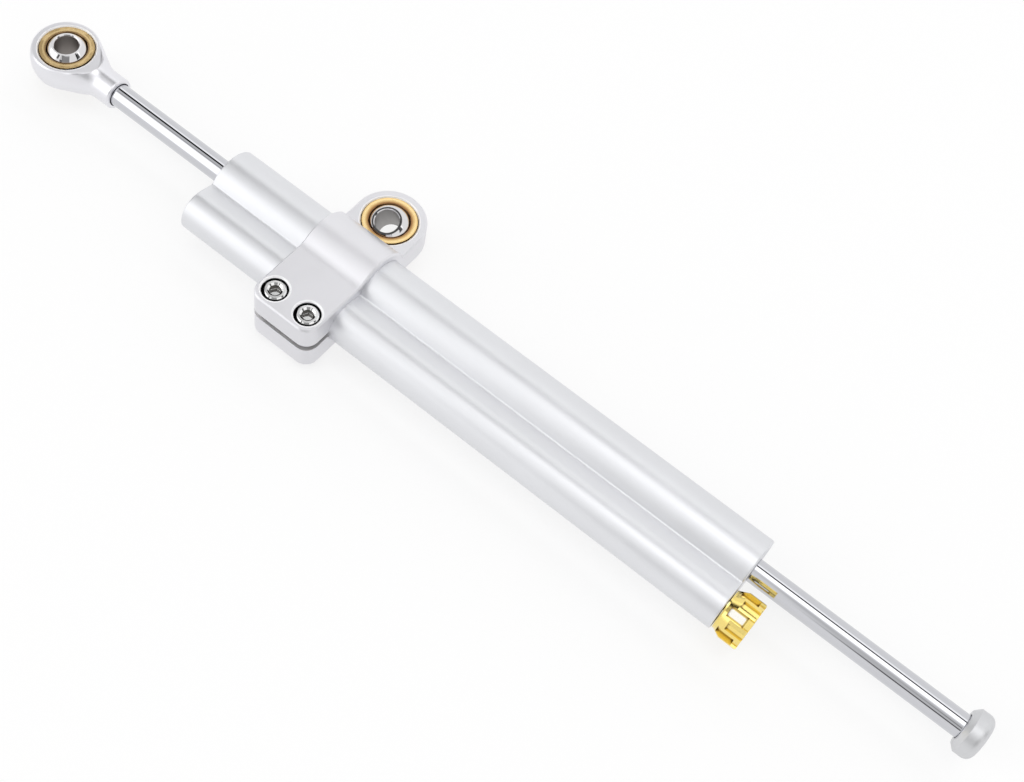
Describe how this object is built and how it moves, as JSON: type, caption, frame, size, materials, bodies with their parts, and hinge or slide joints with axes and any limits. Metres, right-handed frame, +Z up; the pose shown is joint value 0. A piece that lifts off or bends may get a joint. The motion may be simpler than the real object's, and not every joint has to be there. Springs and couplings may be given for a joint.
{
  "type": "motorcycle steering damper",
  "caption": "Linear steering damper: twin-tube body with a through rod, a spherical rod eye, a sliding body clamp with a spherical pivot, and an adjuster knob.",
  "frame": {"origin": "centre of the clamp's pivot bearing", "axes": "+X along the rod towards the adjuster knob, +Y from the tubes out through the pivot lug, +Z up, out of the face that the clamp's screw heads lie in"},
  "size_m": [0.375, 0.0653, 0.026],
  "materials": {
    "silver_anodised": "satin anodised, pearly silver",
    "button_anodised": "satin anodised",
    "gold_anodised": "bright gold anodised, polished",
    "bare_aluminium": "turned",
    "chromed_rod": "ground and hard chromed",
    "polished_steel": "polished",
    "stainless": "polished stainless",
    "spring_steel": "phosphated",
    "bronze": "turned",
    "brass": "turned",
    "ptfe": "matt",
    "seal_rubber": "matt"
  },
  "bodies": {
    "body": {"damper_body": "silver_anodised", "eye_end_guide": "bare_aluminium", "eye_end_wiper": "seal_rubber", "eye_end_seal": "seal_rubber", "eye_end_bush": "bronze", "eye_end_ring": "seal_rubber", "eye_end_circlip": "spring_steel", "knob_end_guide": "bare_aluminium", "knob_end_wiper": "seal_rubber", "knob_end_seal": "seal_rubber", "knob_end_bush": "bronze", "knob_end_ring": "seal_rubber", "knob_end_circlip": "spring_steel", "valve_housing": "brass", "valve_ring": "seal_rubber", "valve_seat": "brass", "detent_ball": "stainless", "detent_spring": "spring_steel", "reservoir_plug": "bare_aluminium", "reservoir_plug_ring": "seal_rubber", "reservoir_circlip": "spring_steel"},
    "piston": {"piston": "bare_aluminium", "piston_ring": "ptfe"},
    "rod": {"piston_rod": "chromed_rod", "piston_circlips": "spring_steel", "eye_housing": "silver_anodised", "eye_race": "bronze", "end_button": "button_anodised"},
    "eye_liner": {"eye_liner": "ptfe"},
    "eye_ball": {"eye_ball": "polished_steel"},
    "clamp": {"clamp": "silver_anodised", "clamp_screws": "stainless", "pivot_race": "bronze"},
    "pivot_liner": {"pivot_liner": "ptfe"},
    "pivot_ball": {"pivot_ball": "polished_steel"},
    "knob": {"adjuster_knob": "gold_anodised", "knob_screw": "stainless", "adjuster_spindle": "stainless", "spindle_ring": "seal_rubber"},
    "needle": {"needle_valve": "stainless"},
    "floating_piston": {"floating_piston": "bare_aluminium", "floating_piston_ring": "seal_rubber"}
  },
  "joints": [
    {"name": "piston_slide", "type": "slide", "parent": "body", "child": "piston", "axis": [1, 0, 0], "range_m": [-0.073, 0.0495]},
    {"name": "rod_turn", "type": "hinge", "parent": "piston", "child": "rod", "pos_m": [0.0656, -0.0201, 0], "axis": [1, 0, 0], "continuous": true},
    {"name": "eye_tilt", "type": "hinge", "parent": "rod", "child": "eye_liner", "pos_m": [-0.1236, -0.0201, 0], "axis": [0, 1, 0], "range_deg": [-16, 16]},
    {"name": "eye_swivel", "type": "hinge", "parent": "eye_liner", "child": "eye_ball", "pos_m": [-0.1236, -0.0201, 0], "axis": [0, 0, 1], "continuous": true},
    {"name": "clamp_slide", "type": "slide", "parent": "body", "child": "clamp", "axis": [1, 0, 0], "range_m": [-0.0375, 0.1459]},
    {"name": "pivot_tilt", "type": "hinge", "parent": "clamp", "child": "pivot_liner", "pos_m": [0, 0, 0], "axis": [1, 0, 0], "range_deg": [-31, 1]},
    {"name": "pivot_swivel", "type": "hinge", "parent": "pivot_liner", "child": "pivot_ball", "pos_m": [0, 0, 0], "axis": [0, -0.2588, 0.9659], "continuous": true},
    {"name": "knob_turn", "type": "hinge", "parent": "body", "child": "knob", "pos_m": [0.1588, -0.036, 0], "axis": [1, 0, 0], "range_deg": [-270, 270]},
    {"name": "needle_feed", "type": "slide", "parent": "body", "child": "needle", "axis": [1, 0, 0], "range_m": [-0.00058, 0.00058]},
    {"name": "reservoir_slide", "type": "slide", "parent": "body", "child": "floating_piston", "axis": [1, 0, 0], "range_m": [-0.0075, 0.007]}
  ],
  "couplings": [
    {"joint": "needle_feed", "follows": "knob_turn", "m_per_rad": 0.00011937}
  ]
}
